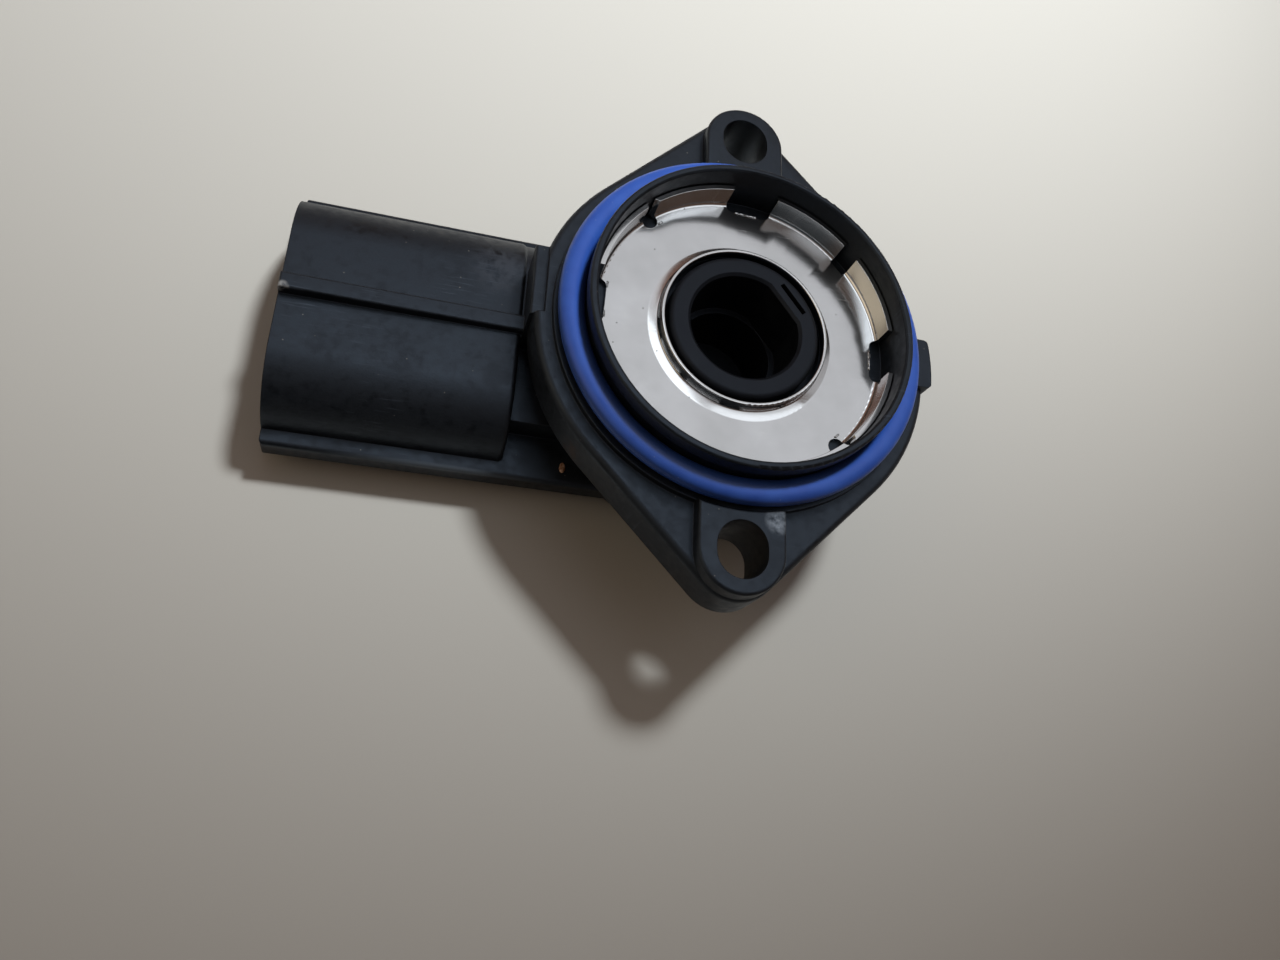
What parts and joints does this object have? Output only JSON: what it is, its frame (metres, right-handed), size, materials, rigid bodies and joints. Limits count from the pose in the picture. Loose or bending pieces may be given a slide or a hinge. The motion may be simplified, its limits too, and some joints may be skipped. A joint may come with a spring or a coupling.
{
  "type": "throttle position sensor",
  "caption": "Rotary contact sensor with slotted ears, a sealed pilot nose, a shaft-driven rotor under a stamped retainer and a side connector shroud.",
  "frame": {"origin": "on the rotor's axis, in the plane of the two ear faces that meet the throttle body", "axes": "+Z along the rotor's axis out of the nose, -X towards the connector's mouth, Y from ear to ear"},
  "size_m": [0.0633, 0.053, 0.0207],
  "materials": {
    "housing_plastic": "satin black glass-filled moulding",
    "seal_rubber": "smooth blue rubber",
    "retainer_steel": "bright stamped steel",
    "rotor_plastic": "smooth black moulding",
    "contact_alloy": "bright spring alloy",
    "film": "amber film with dark tracks",
    "wedge_plastic": "black moulding",
    "terminal_brass": "plated brass"
  },
  "bodies": {
    "housing_body": {"housing": "housing_plastic", "o_ring": "seal_rubber", "retainer": "retainer_steel", "element_film": "film", "wedge": "wedge_plastic", "terminal_supply": "terminal_brass", "terminal_signal": "terminal_brass", "terminal_ground": "terminal_brass"},
    "rotor_body": {"rotor": "rotor_plastic", "contactor": "contact_alloy"}
  },
  "joints": [
    {"name": "rotor_turn", "type": "hinge", "parent": "housing_body", "child": "rotor_body", "pos_m": [0, 0, 0], "axis": [0, 0, 1], "range_deg": [0, 105]}
  ]
}
